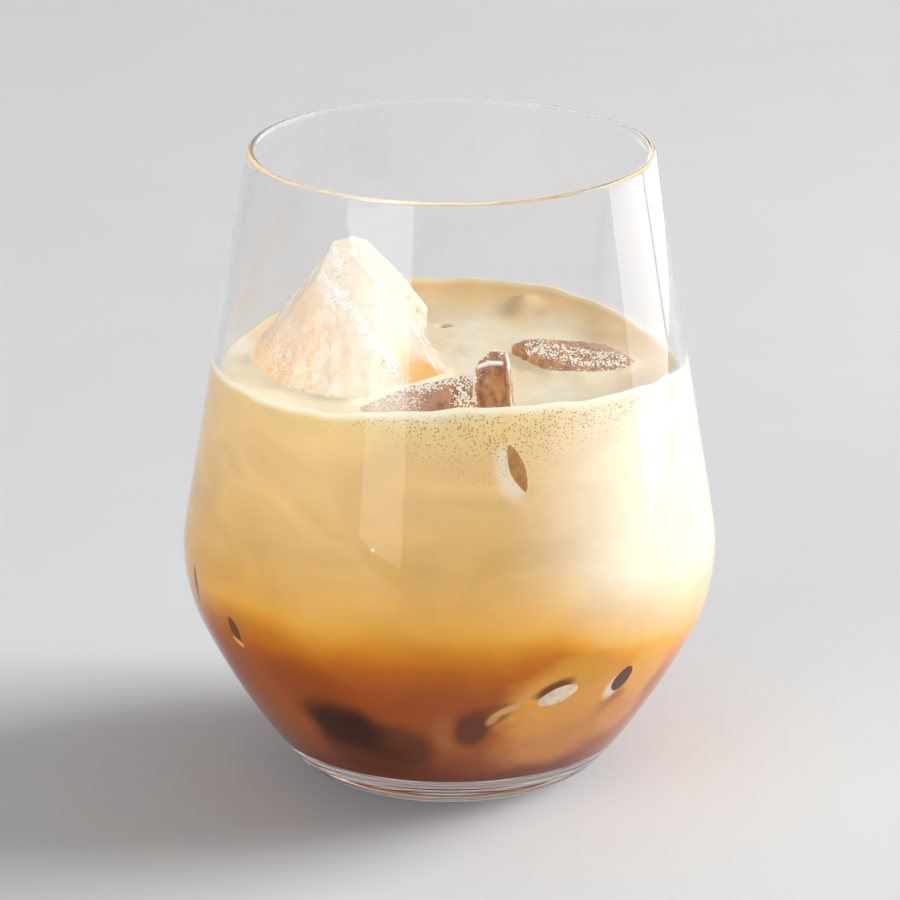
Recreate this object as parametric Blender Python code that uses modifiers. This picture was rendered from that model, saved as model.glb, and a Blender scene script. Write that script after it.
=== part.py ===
"""Iced coffee with milk foam and floating ice, in a stemless glass tumbler.

Lengths are in metres, +Z is up, and the origin is the middle of the tumbler's foot.
The front of the drink, where the low centre ice lies against the wall, faces -Y.
"""

import math

import bmesh
import bpy
from mathutils import Vector

MM = 0.001

# Tumbler: a straight wall that leans in towards the lip, a round belly and a wall that runs in to the foot.
GLASS_HEIGHT = 110 * MM
BELLY_RADIUS = 46 * MM
BELLY_HEIGHT = 39.9 * MM
BELLY_CURVE_RADIUS = 28.8 * MM
WALL_LEAN = math.radians(9.7)
BELLY_CURVE_DROP = math.radians(26)
LOWER_WALL_CURVE_RADIUS = 128.6 * MM
FOOT_CURVE_RADIUS = 10.9 * MM
WALL = 1.6 * MM
BASE_THICKNESS = 5 * MM
INNER_CORNER_RADIUS = 9 * MM

# Drink: dark coffee below, milk foam above, a gap of GAP between any two pieces.
GAP = 0.3 * MM
LAYER_HEIGHT = 34 * MM
POOL_HEIGHT = 71.2 * MM
LINE_HEIGHT = 74.6 * MM
CLIMB_WIDTH = 15 * MM

# The foam's line on the wall rises and falls: (waves round the glass, height, angle of a crest from the front).
LINE_WAVES = (
    (1, 0.5 * MM, math.radians(28)),
    (2, 1.6 * MM, math.radians(10)),
    (3, 0.45 * MM, math.radians(48)),
    (5, 0.4 * MM, math.radians(0)),
)

# Rings just inside both ends of the straight wall, where its surface meets a curve.
WALL_RING_HEIGHTS = (47 * MM, 107.5 * MM)

GLASS_STEPS = 64
DRINK_STEPS = 48
FOAM_RINGS = 7

# Ice: the corners of each chipped block in millimetres, the part above the foam first, then the sunk part.
LARGE_ICE_CORNERS = (
    (-20.8, -6.4, 92.6), (-19.6, -4.5, 95.0), (-16.8, -4.0, 95.8), (-14.3, 0.0, 93.8), (-15.7, -6.0, 92.6),
    (-8.9, 3.0, 87.3), (-4.1, 4.0, 80.8), (-4.3, 4.5, 77.0), (-8.8, -4.5, 81.6), (-22.2, -7.5, 89.8),
    (-34.6, 3.0, 73.0), (-34.2, -3.5, 71.5), (-27.5, -15.0, 71.5), (-16.5, -20.0, 71.5), (-7.6, -11.8, 71.5),
    (-25.0, 14.0, 71.5), (-12.0, 13.5, 74.0),
    (-31.0, -7.0, 60.0), (-16.0, -16.5, 58.0), (-5.0, -7.0, 57.0), (-8.0, 10.0, 56.0), (-26.0, 10.0, 58.0),
)
LARGE_ICE_SPUR_CORNERS = (
    (-8.0, -4.0, 79.5), (-5.0, 2.0, 77.4), (-3.2, 0.5, 75.2), (-0.2, -3.6, 71.6), (-1.2, -7.0, 70.2),
    (-7.0, -13.2, 71.0), (-11.0, -10.0, 74.0), (-11.0, -1.0, 66.0), (-3.0, 2.0, 65.0), (-2.0, -6.0, 64.5),
    (-8.5, -11.0, 63.5),
)
CENTRE_ICE_RIDGE_CORNERS = (
    (-15.4, -27.6, 73.2), (-7.3, -28.0, 76.9), (2.2, -28.0, 79.0), (4.6, -27.0, 78.8), (4.8, -32.5, 74.0),
    (-4.0, -32.8, 73.6), (-3.0, -24.5, 74.6), (5.5, -24.5, 75.8), (-11.0, -28.5, 67.0), (4.5, -33.5, 62.0),
    (5.5, -24.5, 62.0),
)
CENTRE_ICE_CRYSTAL_CORNERS = (
    (3.7, -29.0, 79.8), (4.6, -27.0, 81.2), (7.0, -25.0, 82.7), (9.2, -25.0, 82.0), (9.8, -28.0, 80.6),
    (3.6, -31.2, 72.0), (10.2, -31.0, 72.0), (10.6, -23.0, 72.0), (4.0, -21.5, 72.0), (4.2, -36.2, 64.0),
    (10.0, -35.8, 64.5), (7.4, -35.8, 58.0), (10.2, -23.0, 60.0), (3.8, -23.0, 60.0),
)
RIGHT_ICE_CORNERS = (
    (10.3, 7.5, 72.8), (12.2, 4.0, 75.3), (16.0, 3.6, 75.2), (21.0, 2.2, 74.7), (29.6, -1.2, 74.0),
    (32.4, 0.5, 72.0), (27.5, 9.5, 72.6), (18.0, 10.5, 72.4), (13.4, 1.6, 71.4), (17.0, -3.9, 71.4),
    (22.5, -5.6, 71.4), (29.8, -4.4, 71.4), (13.5, 0.0, 62.0), (29.5, -2.0, 61.0), (27.0, 8.0, 60.0),
    (14.5, 8.0, 61.5),
)
ICE_EDGE_ROUNDING = 0.5 * MM


def clear_scene():
    """Remove every object that the file opens with."""
    for thing in list(bpy.data.objects):
        bpy.data.objects.remove(thing, do_unlink=True)


def new_collection(name):
    collection = bpy.data.collections.new(name)
    bpy.context.scene.collection.children.link(collection)
    return collection


def material(name, colour, roughness, transmission=0.0, ior=1.5):
    """A Principled material with its colour as linear red, green and blue."""
    made = bpy.data.materials.new(name)
    made.use_nodes = True
    shader = made.node_tree.nodes["Principled BSDF"]
    shader.inputs["Base Color"].default_value = (*colour, 1.0)
    shader.inputs["Roughness"].default_value = roughness
    shader.inputs["Metallic"].default_value = 0.0
    shader.inputs["Transmission Weight"].default_value = transmission
    shader.inputs["IOR"].default_value = ior
    return made


def arc(centre, radius, start, end, steps):
    """Points (radius, height) along an arc, with its angles measured up from level."""
    points = []
    for step in range(steps + 1):
        angle = start + (end - start) * step / steps
        points.append((centre[0] + radius * math.cos(angle), centre[1] + radius * math.sin(angle)))
    return points


def tumbler_side(inset, floor, corner):
    """Points up the tumbler's side, set in from its outside, from a flat floor to the straight upper wall."""
    belly_centre = (BELLY_RADIUS - BELLY_CURVE_RADIUS, BELLY_HEIGHT)
    reach = LOWER_WALL_CURVE_RADIUS - BELLY_CURVE_RADIUS
    lower_centre = (
        belly_centre[0] - reach * math.cos(BELLY_CURVE_DROP),
        belly_centre[1] + reach * math.sin(BELLY_CURVE_DROP),
    )
    lower_radius = LOWER_WALL_CURVE_RADIUS - inset
    corner_angle = math.asin((lower_centre[1] - floor - corner) / (lower_radius - corner))
    corner_centre = (lower_centre[0] + (lower_radius - corner) * math.cos(corner_angle), floor + corner)
    return (
        arc(corner_centre, corner, -math.pi / 2, -corner_angle, 5)
        + arc(lower_centre, lower_radius, -corner_angle, -BELLY_CURVE_DROP, 4)[1:]
        + arc(belly_centre, BELLY_CURVE_RADIUS - inset, -BELLY_CURVE_DROP, WALL_LEAN, 7)[1:]
    )


def upper_wall_radius(height, inset):
    """Radius of the straight upper wall at a height, set in from the outside."""
    curve = BELLY_CURVE_RADIUS - inset
    start_radius = BELLY_RADIUS - BELLY_CURVE_RADIUS + curve * math.cos(WALL_LEAN)
    start_height = BELLY_HEIGHT + curve * math.sin(WALL_LEAN)
    return start_radius - (height - start_height) * math.tan(WALL_LEAN)


def between(points, low, high):
    """The stretch of a rising line of points that lies between two heights."""
    kept = []
    for (r0, z0), (r1, z1) in zip(points, points[1:]):
        if z1 <= low or z0 >= high:
            continue
        for height in (max(z0, low), min(z1, high)):
            share = (height - z0) / (z1 - z0)
            point = (r0 + (r1 - r0) * share, height)
            if not kept or height > kept[-1][1]:
                kept.append(point)
    return kept


def evaluated_mesh(thing):
    """A plain mesh of an object with its modifiers applied."""
    graph = bpy.context.evaluated_depsgraph_get()
    return bpy.data.meshes.new_from_object(thing.evaluated_get(graph))


def turned(name, profile, steps, collection, finish):
    """A solid turned about the Z axis from points (radius, height) that run down its outer side."""
    mesh = bpy.data.meshes.new(name)
    mesh.from_pydata(
        [(radius, 0.0, height) for radius, height in profile],
        [(index, index + 1) for index in range(len(profile) - 1)],
        [],
    )
    thing = bpy.data.objects.new(name, mesh)
    collection.objects.link(thing)
    screw = thing.modifiers.new("Turn", "SCREW")
    screw.steps = steps
    screw.render_steps = steps
    screw.use_merge_vertices = True
    screw.merge_threshold = 0.00001
    thing.data = evaluated_mesh(thing)
    thing.modifiers.clear()
    thing.data.name = name
    thing.data.materials.clear()
    thing.data.materials.append(finish)
    thing.data.shade_smooth()
    thing.data.set_sharp_from_angle(angle=math.radians(35))
    return thing


def make_glass(collection, finish):
    """The tumbler: inner floor, inner wall, round lip, outer wall and flat foot."""
    belly_centre = (BELLY_RADIUS - BELLY_CURVE_RADIUS, BELLY_HEIGHT)
    middle = BELLY_CURVE_RADIUS - WALL / 2
    lip_height = GLASS_HEIGHT - WALL / 2
    lip_rise = (lip_height - belly_centre[1] - middle * math.sin(WALL_LEAN)) / math.cos(WALL_LEAN)
    lip_centre = (
        belly_centre[0] + middle * math.cos(WALL_LEAN) - lip_rise * math.sin(WALL_LEAN),
        lip_height,
    )
    inner = tumbler_side(WALL, BASE_THICKNESS, INNER_CORNER_RADIUS)
    outer = tumbler_side(0.0, 0.0, FOOT_CURVE_RADIUS)
    for height in WALL_RING_HEIGHTS:
        inner.append((upper_wall_radius(height, WALL), height))
        outer.append((upper_wall_radius(height, 0.0), height))
    lip = arc(lip_centre, WALL / 2, math.pi + WALL_LEAN, WALL_LEAN, 6)
    profile = [(0.0, BASE_THICKNESS)] + inner + lip + outer[::-1] + [(0.0, 0.0)]
    return turned("glass", profile, GLASS_STEPS, collection, finish)


def drink_side(low, high):
    """Points up the side of the drink between two heights, GAP clear of the glass."""
    side = tumbler_side(WALL + GAP, BASE_THICKNESS + GAP, INNER_CORNER_RADIUS - GAP)
    side.append((upper_wall_radius(high, WALL + GAP), high))
    return between(side, low, high)


def make_espresso(collection, finish):
    """The dark coffee from the glass's floor up to the foam."""
    floor = BASE_THICKNESS + GAP
    top = LAYER_HEIGHT - GAP / 2
    side = drink_side(floor, top)
    profile = [(0.0, top)] + side[::-1] + [(0.0, floor)]
    return turned("espresso", profile, DRINK_STEPS, collection, finish)


def line_height(x, y):
    """Height of the foam's line on the wall in the direction (x, y)."""
    angle = math.atan2(x, -y)
    height = LINE_HEIGHT
    for waves, swell, crest in LINE_WAVES:
        height += swell * math.cos(waves * (angle - crest))
    return height


def make_foam(collection, finish):
    """The milk foam, whose top lies in a pool and climbs the wall in an uneven line."""
    bottom = LAYER_HEIGHT + GAP / 2
    edge = upper_wall_radius(POOL_HEIGHT, WALL + GAP)
    side = drink_side(bottom, POOL_HEIGHT - 2 * GAP)
    rings = [(0.0, POOL_HEIGHT), (edge * 0.4, POOL_HEIGHT)]
    for ring in range(FOAM_RINGS):
        rings.append((edge - CLIMB_WIDTH * (1 - ring / (FOAM_RINGS - 1)), POOL_HEIGHT))
    foam = turned("milk_foam", rings + side[::-1] + [(0.0, bottom)], DRINK_STEPS, collection, finish)
    for corner in foam.data.vertices:
        if corner.co.z < POOL_HEIGHT - GAP:
            continue
        radius = corner.co.xy.length
        share = max(0.0, (radius - edge + CLIMB_WIDTH) / CLIMB_WIDTH)
        climb = (line_height(corner.co.x, corner.co.y) - POOL_HEIGHT) * share**2
        if radius > 0:
            narrowed = radius - climb * math.tan(WALL_LEAN) * share
            corner.co.x *= narrowed / radius
            corner.co.y *= narrowed / radius
        corner.co.z += climb
    return foam


def chipped_block(name, corners, collection):
    """One flat-sided block of ice round its corners."""
    mesh = bpy.data.meshes.new(name)
    shape = bmesh.new()
    for corner in corners:
        shape.verts.new(Vector(corner) * MM)
    hull = bmesh.ops.convex_hull(shape, input=shape.verts)
    loose = {item for item in hull["geom_interior"] if isinstance(item, bmesh.types.BMVert)}
    bmesh.ops.delete(shape, geom=list(loose), context="VERTS")
    bmesh.ops.recalc_face_normals(shape, faces=shape.faces)
    shape.to_mesh(mesh)
    shape.free()
    block = bpy.data.objects.new(name, mesh)
    collection.objects.link(block)
    return block


def boolean(thing, operation, other):
    """Join or cut a thing by another, keep the result as its mesh."""
    modifier = thing.modifiers.new("Join", "BOOLEAN")
    modifier.operation = operation
    modifier.object = other
    modifier.solver = "MANIFOLD"
    thing.data = evaluated_mesh(thing)
    thing.modifiers.clear()


def round_edges(block, finish):
    """Round the sharp edges of a block, as melting does, and give it its finish."""
    shape = bmesh.new()
    shape.from_mesh(block.data)
    bmesh.ops.dissolve_limit(shape, angle_limit=math.radians(4), verts=shape.verts, edges=shape.edges)
    sharp = [edge for edge in shape.edges if edge.calc_face_angle(0.0) > math.radians(12)]
    bmesh.ops.bevel(
        shape, geom=sharp, offset=ICE_EDGE_ROUNDING, segments=1, affect="EDGES", clamp_overlap=True
    )
    bmesh.ops.triangulate(shape, faces=shape.faces)
    bmesh.ops.recalc_face_normals(shape, faces=shape.faces)
    shape.to_mesh(block.data)
    shape.free()
    block.data.materials.clear()
    block.data.materials.append(finish)


def make_ice(name, blocks, collection, finish):
    """A piece of ice from one block, or from several that froze together."""
    ice = chipped_block(name, blocks[0], collection)
    for corners in blocks[1:]:
        other = chipped_block(name + "_joined", corners, collection)
        boolean(ice, "UNION", other)
        bpy.data.objects.remove(other, do_unlink=True)
    round_edges(ice, finish)
    return ice


def sink(name, blocks, foam, cutters):
    """Cut the foam round the blocks of a piece of ice, with the gap that two pieces keep."""
    for number, corners in enumerate(blocks, 1):
        cutter = chipped_block(f"{name}_room_{number}", corners, cutters)
        cutter.hide_render = True
        cutter.display_type = "WIRE"
        shape = bmesh.new()
        shape.from_mesh(cutter.data)
        shape.normal_update()
        moves = [corner.normal * (GAP * corner.calc_shell_factor()) for corner in shape.verts]
        for corner, move in zip(shape.verts, moves):
            corner.co += move
        shape.to_mesh(cutter.data)
        shape.free()
        boolean(foam, "DIFFERENCE", cutter)


def main():
    clear_scene()
    parts = new_collection("iced_coffee")
    cutters = new_collection("cutters")
    clear_glass = material("clear_glass", (0.95, 0.97, 0.96), 0.02, transmission=1.0, ior=1.52)
    dark_coffee = material("dark_coffee", (0.19, 0.055, 0.012), 0.08)
    foam_finish = material("milk_foam", (0.78, 0.57, 0.32), 0.45)
    ice_finish = material("ice", (0.86, 0.80, 0.72), 0.15, transmission=0.6, ior=1.31)
    make_glass(parts, clear_glass)
    make_espresso(parts, dark_coffee)
    foam = make_foam(parts, foam_finish)
    pieces = {
        "ice_large": (LARGE_ICE_CORNERS, LARGE_ICE_SPUR_CORNERS),
        "ice_centre": (CENTRE_ICE_RIDGE_CORNERS, CENTRE_ICE_CRYSTAL_CORNERS),
        "ice_right": (RIGHT_ICE_CORNERS,),
    }
    for name, blocks in pieces.items():
        make_ice(name, blocks, parts, ice_finish)
        sink(name, blocks, foam, cutters)


main()
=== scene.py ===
"""Iced coffee under milk foam, with chipped ice, in a stemless tumbler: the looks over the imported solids.

Lengths are in metres, +Z is up, the origin is the middle of the tumbler's foot and the front faces -Y.
"""

import math

import bmesh
import bpy
import numpy
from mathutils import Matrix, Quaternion, Vector, noise
from mathutils.bvhtree import BVHTree


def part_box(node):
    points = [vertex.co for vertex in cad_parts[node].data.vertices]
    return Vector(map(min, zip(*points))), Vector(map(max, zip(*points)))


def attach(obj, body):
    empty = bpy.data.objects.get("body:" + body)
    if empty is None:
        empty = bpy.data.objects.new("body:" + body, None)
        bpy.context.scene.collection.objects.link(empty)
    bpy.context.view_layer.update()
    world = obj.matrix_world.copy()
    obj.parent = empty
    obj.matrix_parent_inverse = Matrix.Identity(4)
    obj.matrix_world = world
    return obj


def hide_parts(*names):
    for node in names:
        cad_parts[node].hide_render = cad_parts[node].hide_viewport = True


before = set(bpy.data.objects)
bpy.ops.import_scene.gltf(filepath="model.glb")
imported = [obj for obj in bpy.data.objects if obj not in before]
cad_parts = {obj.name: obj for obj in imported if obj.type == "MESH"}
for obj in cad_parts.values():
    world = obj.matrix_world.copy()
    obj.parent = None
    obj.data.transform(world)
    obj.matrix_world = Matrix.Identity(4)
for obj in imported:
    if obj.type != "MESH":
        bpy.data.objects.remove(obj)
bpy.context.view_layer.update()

MM = 0.001

# The tumbler
# A stemless tumbler of clear soda-lime glass, blown into a turned mould, with a lip that is cut and
# melted round by a flame and a thick base. Its straight upper wall leans in over a round belly.
BELLY_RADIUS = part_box("glass")[1][0]
GLASS_HEIGHT = 110 * MM
BELLY_HEIGHT = 39.9 * MM
BELLY_CURVE_RADIUS = 28.8 * MM
WALL_LEAN = math.radians(9.7)
BELLY_CURVE_DROP = math.radians(26)
LOWER_WALL_CURVE_RADIUS = 128.6 * MM
FOOT_CURVE_RADIUS = 10.9 * MM
WALL = 1.6 * MM
BASE_THICKNESS = 5 * MM
INNER_CORNER_RADIUS = 9 * MM
GLASS_STEPS = 256


def arc(centre, radius, start, end, steps):
    """Points (radius, height) along an arc, with its angles measured up from level."""
    points = []
    for step in range(steps + 1):
        angle = start + (end - start) * step / steps
        points.append((centre[0] + radius * math.cos(angle), centre[1] + radius * math.sin(angle)))
    return points


def tumbler_side(inset, floor, corner):
    """Points up the tumbler's side, set in from its outside, from a flat floor to the straight wall."""
    belly_centre = (BELLY_RADIUS - BELLY_CURVE_RADIUS, BELLY_HEIGHT)
    reach = LOWER_WALL_CURVE_RADIUS - BELLY_CURVE_RADIUS
    lower_centre = (
        belly_centre[0] - reach * math.cos(BELLY_CURVE_DROP),
        belly_centre[1] + reach * math.sin(BELLY_CURVE_DROP),
    )
    lower_radius = LOWER_WALL_CURVE_RADIUS - inset
    corner_angle = math.asin((lower_centre[1] - floor - corner) / (lower_radius - corner))
    corner_centre = (lower_centre[0] + (lower_radius - corner) * math.cos(corner_angle), floor + corner)
    return (
        arc(corner_centre, corner, -math.pi / 2, -corner_angle, 16)
        + arc(lower_centre, lower_radius, -corner_angle, -BELLY_CURVE_DROP, 24)[1:]
        + arc(belly_centre, BELLY_CURVE_RADIUS - inset, -BELLY_CURVE_DROP, WALL_LEAN, 36)[1:]
    )


def upper_wall_radius(height, inset):
    """Radius of the straight upper wall at a height, set in from the outside."""
    curve = BELLY_CURVE_RADIUS - inset
    start_radius = BELLY_RADIUS - BELLY_CURVE_RADIUS + curve * math.cos(WALL_LEAN)
    start_height = BELLY_HEIGHT + curve * math.sin(WALL_LEAN)
    return start_radius - (height - start_height) * math.tan(WALL_LEAN)


def upper_wall(inset, low, high, steps):
    """Points up the straight upper wall between two heights."""
    heights = [low + (high - low) * step / steps for step in range(steps + 1)]
    return [(upper_wall_radius(height, inset), height) for height in heights]


def turned(name, profile, steps):
    """A smooth piece turned about the Z axis from points (radius, height) that run down its outer side."""
    mesh = bpy.data.meshes.new(name)
    edges = [(index, index + 1) for index in range(len(profile) - 1)]
    mesh.from_pydata([(radius, 0.0, height) for radius, height in profile], edges, [])
    piece = bpy.data.objects.new(name, mesh)
    bpy.context.scene.collection.objects.link(piece)
    screw = piece.modifiers.new("Turn", "SCREW")
    screw.steps = steps
    screw.render_steps = steps
    screw.use_merge_vertices = True
    screw.merge_threshold = 0.00001
    apply_modifiers(piece)
    piece.data.shade_smooth()
    return piece


def apply_modifiers(piece):
    """Keep a piece's shape with its modifiers as its mesh."""
    graph = bpy.context.evaluated_depsgraph_get()
    piece.data = bpy.data.meshes.new_from_object(piece.evaluated_get(graph))
    piece.modifiers.clear()


def linear(hex_colour):
    """An sRGB hex colour as linear red, green, blue and alpha."""
    values = []
    for start in (1, 3, 5):
        share = int(hex_colour[start:start + 2], 16) / 255
        values.append(share / 12.92 if share <= 0.04045 else ((share + 0.055) / 1.055) ** 2.4)
    return (*values, 1.0)


def add(tree, kind, sockets=None, **settings):
    """Add a node, with its settings, and with each named socket's value or the output that feeds it."""
    node = tree.nodes.new("ShaderNode" + kind)
    for name, value in settings.items():
        setattr(node, name, value)
    for name, value in (sockets or {}).items():
        if isinstance(value, bpy.types.NodeSocket):
            tree.links.new(value, node.inputs[name])
        else:
            node.inputs[name].default_value = value
    return node


def new_material(name):
    """An empty node material and its tree."""
    material = bpy.data.materials.new(name)
    material.use_nodes = True
    material.node_tree.nodes.clear()
    return material, material.node_tree


def lets_lamps_through(tree, surface, diffuse_share, lamp_share, most_turns=None):
    """Finish a clear material whose body casts no hard shadow: lamps and diffuse light cross it unbent.

    Where most_turns is given, light that has been turned more often than that crosses it unbent too.
    """
    path = add(tree, "LightPath")
    diffuse = add(tree, "Math", {0: path.outputs["Is Diffuse Ray"], 1: diffuse_share}, operation="MULTIPLY")
    crossing = add(tree, "Math", {0: path.outputs["Is Shadow Ray"], 1: lamp_share, 2: diffuse.outputs[0]},
                   operation="MULTIPLY_ADD")
    if most_turns:
        trapped = add(tree, "Math", {0: path.outputs["Ray Depth"], 1: most_turns}, operation="GREATER_THAN")
        crossing = add(tree, "Math", {0: crossing.outputs[0], 1: trapped.outputs[0]}, operation="MAXIMUM")
    clear = add(tree, "BsdfTransparent", {"Color": linear("#FDFEFD")})
    mixed = add(tree, "MixShader", {0: crossing.outputs[0], 1: surface, 2: clear.outputs[0]})
    add(tree, "OutputMaterial", {"Surface": mixed.outputs[0]})


def soda_lime_glass():
    """Polished soda-lime glass: sharp reflections, with the faint waves that a blown wall keeps.

    The specular tint holds back the room's reflection, which would veil the drink's colour.
    """
    wave_length, film_size = 28 * MM, 9 * MM
    material, tree = new_material("soda_lime_glass_polished")
    place = add(tree, "TexCoord").outputs["Object"]
    waves = add(tree, "TexNoise", {"Vector": place, "Scale": 1 / wave_length, "Detail": 1.0})
    bump = add(tree, "Bump", {"Strength": 0.12, "Distance": 0.2 * MM, "Height": waves.outputs["Fac"]})
    film = add(tree, "TexNoise", {"Vector": place, "Scale": 1 / film_size, "Detail": 4.0})
    roughness = add(tree, "MapRange", {
        "Value": film.outputs["Fac"], "From Min": 0.45, "From Max": 0.8, "To Min": 0.0, "To Max": 0.03,
    })
    shader = add(tree, "BsdfPrincipled", {
        "Base Color": linear("#FDFDFD"), "Roughness": roughness.outputs[0], "IOR": 1.52,
        "Transmission Weight": 1.0, "Normal": bump.outputs[0], "Specular Tint": (0.45, 0.45, 0.45, 1.0),
    })
    lets_lamps_through(tree, shader.outputs[0], 1.0, 1.0, most_turns=8)
    return material


belly_centre_radius = BELLY_RADIUS - BELLY_CURVE_RADIUS
lip_middle = BELLY_CURVE_RADIUS - WALL / 2
lip_height = GLASS_HEIGHT - WALL / 2
lip_rise = (lip_height - BELLY_HEIGHT - lip_middle * math.sin(WALL_LEAN)) / math.cos(WALL_LEAN)
lip_centre = (
    belly_centre_radius + lip_middle * math.cos(WALL_LEAN) - lip_rise * math.sin(WALL_LEAN),
    lip_height,
)
WALL_START = 46 * MM
WALL_END = 108 * MM
WALL_STEPS = 12
glass_inner = tumbler_side(WALL, BASE_THICKNESS, INNER_CORNER_RADIUS)
glass_inner += upper_wall(WALL, WALL_START, WALL_END, WALL_STEPS)
glass_outer = tumbler_side(0.0, 0.0, FOOT_CURVE_RADIUS)
glass_outer += upper_wall(0.0, WALL_START, WALL_END, WALL_STEPS)
glass_lip = arc(lip_centre, WALL / 2, math.pi + WALL_LEAN, WALL_LEAN, 18)
glass_profile = [(0.0, BASE_THICKNESS)] + glass_inner + glass_lip + glass_outer[::-1] + [(0.0, 0.0)]
tumbler = turned("tumbler_glass", glass_profile, GLASS_STEPS)
tumbler.data.materials.append(soda_lime_glass())
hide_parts("glass")
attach(tumbler, "root")

# The ice
# Chipped pieces of clear freezer ice that float in the drink: flat broken faces with melted edges, white
# frost in their skin, and the drink's colour inside. Each keeps the form of its solid.
ICE_GRAIN = 0.26 * MM
LARGE_GRAIN = 0.34 * MM
CHIP_DEPTH = 0.3 * MM
CHIP_SIZES = (5.0 * MM, 2.6 * MM)
FROST_DEPTH = 0.04 * MM
FROST_SIZES = (0.9 * MM, 0.45 * MM)
CREASE_HEIGHT = 0.22 * MM


def ring(centre, radius):
    """Points in mm round a bubble in a face of the ice that looks to the right and forward."""
    across, upward = Vector((0.73, 0.62, 0.28)), Vector((-0.33, -0.03, 0.94))
    steps = 10
    points = []
    for step in range(steps + 1):
        turn = 2 * math.pi * step / steps
        points.append(tuple(Vector(centre) + radius * (across * math.cos(turn) + upward * math.sin(turn))))
    return points


# What is seen on each piece, stroke by stroke: (kind, half width in mm, strength, points in mm).
# A crease is a broken edge raised a little and painted white along it, partly frost and partly a painted
# highlight, frost is white grains, clear is glassy ice without bubbles, warm is where the drink's colour
# comes through, and pale is a grey line or haze inside the ice.
STROKES = {
    "ice_large": (
        ("crease_highlight", 0.34, 1.0, ((-16.8, -5.4, 93.7), (-15.7, -6.2, 92.3), (-12, -4.6, 87.1),
                               (-8.6, -3.2, 82.2), (-5.6, -1.6, 78), (-4.2, -4.2, 75), (-1.6, -5.8, 72))),
        ("crease_highlight", 0.34, 1.0, ((-16.8, -4, 95.8), (-14.3, 0, 93.8), (-8.9, 3, 87.3), (-4.1, 4, 80.8),
                               (-4.3, 4.5, 77), (-2, 2, 75.5), (-0.4, -3, 72))),
        ("crease_highlight", 0.34, 0.9, ((-19.6, -4.5, 95), (-20.9, -5.6, 92.6), (-21.6, -7.2, 90.7),
                               (-20.5, -8.7, 89), (-18.2, -10.2, 86.8))),
        ("crease_highlight", 0.25, 0.45, ((-8.2, -8.2, 76.8), (-8.1, -10.4, 74.5), (-8, -12, 72.1))),
        ("frost", 2.6, 0.55, ((-20, -6, 93.2), (-18, -7.4, 90.7))),
        ("frost", 1.9, 0.72, ((-20, -9.4, 87.8), (-17.9, -10.3, 86.4), (-15.4, -11.4, 83.5),
                              (-13.4, -11.7, 80.1), (-11.2, -11.3, 77.5), (-9.4, -11.2, 75))),
        ("frost", 3.4, 0.42, ((-12.9, -8.2, 85.6), (-10.6, -9.5, 79.1))),
        ("frost", 1.0, 0.6, ((-22, -14.3, 78), (-22.2, -15.8, 74.4), (-20.5, -17.3, 72))),
        ("frost", 5.5, 0.5, ((-29.5, -7, 76.5), (-25, -13.5, 74.5))),
        ("pale", 0.3, 0.8, ring((-6.4, 1.0, 82.2), 1.5)),
        ("pale", 0.25, 0.7, ring((-5.6, 1.4, 79.9), 1.0)),
        ("pale", 0.22, 0.7, ring((-10.9, -12.1, 75.8), 0.6)),
        ("pale", 0.22, 0.7, ring((-9.4, -11.4, 74.7), 0.75)),
        ("pale", 0.25, 0.5, ((-4.8, -3.4, 76.4), (-3.4, -4.4, 74.6), (-1.2, -5, 72.4))),
        ("clear", 3.4, 1.0, ((-14.2, -2.6, 92.8), (-8.6, 0.4, 85), (-5.2, 1.6, 79.4))),
        ("clear", 4.5, 0.5, ((-12.6, -8, 85), (-9, -9, 78))),
        ("clear", 1.6, 0.8, ((-5.2, -1, 76.5), (-2.2, -3, 73))),
        ("warm", 5.4, 1.0, ((-33, -3, 75.5), (-29, -9, 75), (-26, -12.5, 74.5))),
        ("warm", 4.5, 0.45, ((-26, -7.2, 83), (-22.5, -11, 80))),
        ("warm", 2.9, 1.7, ((-6.6, -10, 74.6), (-5.3, -8.8, 73.1), (-2.4, -7.2, 71.6))),
    ),
    "ice_centre": (
        ("crease_highlight", 0.3, 1.0, ((9.2, -25.4, 82), (9.5, -28.4, 80.2), (9.9, -29.8, 77.5), (10.1, -31, 73.5))),
        ("crease_highlight", 0.3, 0.8, ((3.9, -29, 79.6), (3.8, -29.9, 77.8), (3.9, -31.2, 75), (3.9, -31.6, 73))),
        ("crease_highlight", 0.55, 0.9, ((4.6, -28.1, 80.4), (6.3, -27.5, 80.9), (8.2, -27.6, 80.9))),
        ("frost", 2.0, 0.62, ((-14.6, -28.5, 73.6), (-11, -28.1, 74.9), (-5.2, -28.4, 77.1),
                              (0, -28.2, 78.4), (3.6, -28.6, 78.9))),
        ("frost", 2.4, 0.5, ((-12, -30, 73.4), (-6, -30.5, 75))),
        ("frost", 2.4, 0.6, ((1.8, -29.4, 77.4), (2.6, -31.2, 74.6))),
        ("frost", 1.2, 0.45, ((4.6, -26.9, 81.2), (7, -25.4, 82.6), (9.2, -25.4, 82))),
        ("frost", 1.4, 0.3, ((6.5, -31, 73.5), (9.5, -31, 73.5))),
        ("pale", 3.6, 0.9, ((-15, -28.6, 72.6), (-9, -29.5, 74))),
        ("pale", 2.2, 0.2, ((-5.5, -30, 74.6), (-3, -30.2, 75))),
    ),
    "ice_right": (
        ("frost", 2.6, 0.5, ((13.6, 3.2, 74.8), (18, 1.8, 74.7), (22, 0.2, 74.2), (29, -1.6, 73.6))),
        ("frost", 1.4, 0.6, ((13.2, 1.8, 73.4), (16.4, 0.4, 74), (22, -2.2, 73.2), (29.6, -3, 72.8))),
        ("frost", 1.5, 0.4, ((16, -3.2, 72), (20, -4.6, 71.8), (28, -4, 72))),
        ("crease_highlight", 0.3, 0.6, ((20, 1.4, 74.9), (24, -0.2, 74.3), (29.6, -1.2, 74))),
    ),
}


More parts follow.
